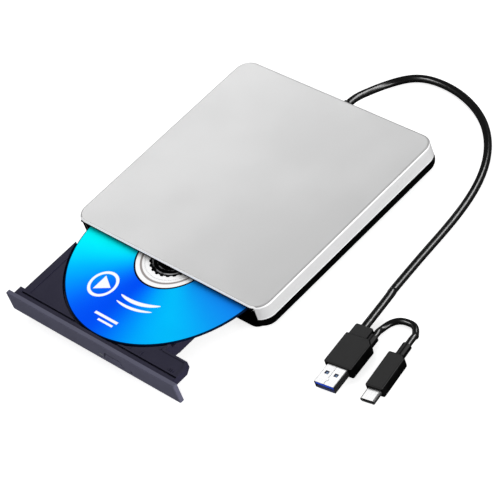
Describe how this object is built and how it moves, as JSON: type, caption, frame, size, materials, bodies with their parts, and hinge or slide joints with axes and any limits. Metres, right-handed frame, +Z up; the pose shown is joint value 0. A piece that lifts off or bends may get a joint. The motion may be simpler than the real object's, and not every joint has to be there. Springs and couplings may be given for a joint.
{
  "type": "external optical drive",
  "caption": "Slim external optical disc drive with a slide-out tray holding a disc, flat two-part case and a captive cable ending in two plugs.",
  "frame": {"origin": "centre of the flat underside of the lower cover; the rubber feet reach 1.2 mm below it", "axes": "+Z up through the top plate, -Y towards the user (the way the tray slides out), +X to the right seen from the front; the cable leaves the back"},
  "size_m": [0.2202, 0.2374, 0.0173],
  "materials": {
    "silver_shell": "satin silver-grey lacquer over moulded ABS",
    "black_shell": "fine-textured black ABS",
    "foot_rubber": "matt black silicone rubber",
    "steel_screw": "nickel-plated steel",
    "foam": "black self-adhesive foam",
    "zinc_sheet": "zinc-coated pressed steel sheet",
    "natural_plastic": "unfilled acetal",
    "tray_plastic": "charcoal glass-filled plastic, fine grain",
    "bezel_plastic": "charcoal ABS, fine spark-eroded grain",
    "clear_plastic": "clear polycarbonate",
    "board_green": "green solder mask over glass laminate",
    "chip_black": "black epoxy package",
    "flex_amber": "amber polyimide ribbon",
    "soft_damper": "soft butyl rubber",
    "motor_steel": "plated steel lamination and bell",
    "turntable_black": "black nylon hub with dark chrome sheen",
    "claw_chrome": "polished spring clips",
    "polycarbonate_disc": "polycarbonate disc, cyan to blue printed gradient, silver clamping area",
    "polished_rod": "ground steel rod",
    "die_cast": "die-cast zinc, as cast",
    "lens_glass": "coated objective lens",
    "lens_black": "liquid-crystal polymer",
    "cable_black": "glossy black PVC jacket",
    "plug_black": "fine-textured black TPE overmould",
    "plug_steel": "bright nickel-plated steel shell",
    "insert_blue": "blue nylon contact carrier",
    "contact_gold": "gold-plated contact"
  },
  "bodies": {
    "base": {"top_cover": "silver_shell", "bottom_cover": "black_shell", "rubber_feet": "foot_rubber", "case_screws": "steel_screw", "drive_mount_screws": "steel_screw", "foam_pads": "foam", "drive_chassis": "zinc_sheet", "drive_top_plate": "zinc_sheet", "drive_side_screws": "steel_screw", "rail_guides": "natural_plastic", "lock_pin": "steel_screw", "flex_cable": "flex_amber", "connector_board": "board_green", "sata_plug": "chip_black", "adapter_board": "board_green", "adapter_socket": "chip_black", "adapter_parts": "chip_black", "adapter_screws": "steel_screw", "strain_relief": "cable_black", "main_cable": "cable_black", "usb_a_housing": "plug_black", "usb_a_shell": "plug_steel", "usb_a_insert": "insert_blue", "usb_a_contacts": "contact_gold", "pigtail_cable": "cable_black", "usb_c_housing": "plug_black", "usb_c_shell": "plug_steel", "usb_c_insert": "chip_black"},
    "rail_left": {"slide_rail_left": "zinc_sheet"},
    "rail_right": {"slide_rail_right": "zinc_sheet"},
    "tray": {"disc_tray": "tray_plastic", "tray_bezel": "bezel_plastic", "led_light_pipe": "clear_plastic", "switch_board": "board_green", "switch_board_parts": "chip_black", "tray_under_cover": "zinc_sheet", "tray_circuit_board": "board_green", "board_chips": "chip_black", "traverse_base": "zinc_sheet", "traverse_cover": "zinc_sheet", "damper_bushes": "soft_damper", "traverse_screws": "steel_screw", "spindle_motor_stator": "motor_steel", "guide_rods": "polished_rod", "sled_motor": "motor_steel", "latch_spring": "steel_screw", "latch_solenoid": "motor_steel", "ejector_housing": "tray_plastic", "ejector_rod": "natural_plastic", "ejector_spring": "steel_screw"},
    "spindle": {"spindle_rotor": "turntable_black", "turntable_ring": "soft_damper", "clamp_claws": "claw_chrome", "disc": "polycarbonate_disc"},
    "sled": {"pickup_sled": "die_cast"},
    "lens": {"lens_holder": "lens_black", "objective_lens": "lens_glass"},
    "screw": {"lead_screw": "polished_rod"},
    "button": {"eject_button": "bezel_plastic"},
    "latch": {"latch_lever": "natural_plastic"}
  },
  "joints": [
    {"name": "tray_slide", "type": "slide", "parent": "base", "child": "tray", "axis": [0, -1, 0], "range_m": [-0.0565, 0.0695], "deforming": ["flex_cable"]},
    {"name": "rail_left_slide", "type": "slide", "parent": "base", "child": "rail_left", "axis": [0, -1, 0], "range_m": [-0.0283, 0.0348]},
    {"name": "rail_right_slide", "type": "slide", "parent": "base", "child": "rail_right", "axis": [0, -1, 0], "range_m": [-0.0283, 0.0348]},
    {"name": "spindle_spin", "type": "hinge", "parent": "tray", "child": "spindle", "pos_m": [0, -0.0587, 0.0115], "axis": [0, 0, 1], "continuous": true},
    {"name": "sled_slide", "type": "slide", "parent": "tray", "child": "sled", "axis": [-0.7071, -0.7071, 0], "range_m": [0, 0.033]},
    {"name": "lead_screw_turn", "type": "hinge", "parent": "tray", "child": "screw", "pos_m": [0.01237, -0.07107, 0.0057], "axis": [-0.7071, -0.7071, 0], "range_deg": [-5, 3970]},
    {"name": "lens_focus", "type": "slide", "parent": "sled", "child": "lens", "axis": [0, 0, 1], "range_m": [-0.0004, 0.0004]},
    {"name": "eject_button_press", "type": "slide", "parent": "tray", "child": "button", "axis": [0, 1, 0], "range_m": [0, 0.0006], "stiffness_N_per_m": 300},
    {"name": "latch_swing", "type": "hinge", "parent": "tray", "child": "latch", "pos_m": [0.0335, -0.1165, 0.0033], "axis": [0, 0, 1], "range_deg": [0, 12]}
  ],
  "couplings": [
    {"joint": "rail_left_slide", "follows": "tray_slide", "ratio": 0.5},
    {"joint": "rail_right_slide", "follows": "tray_slide", "ratio": 0.5},
    {"joint": "lead_screw_turn", "follows": "sled_slide", "rad_per_m": 2094.4}
  ]
}
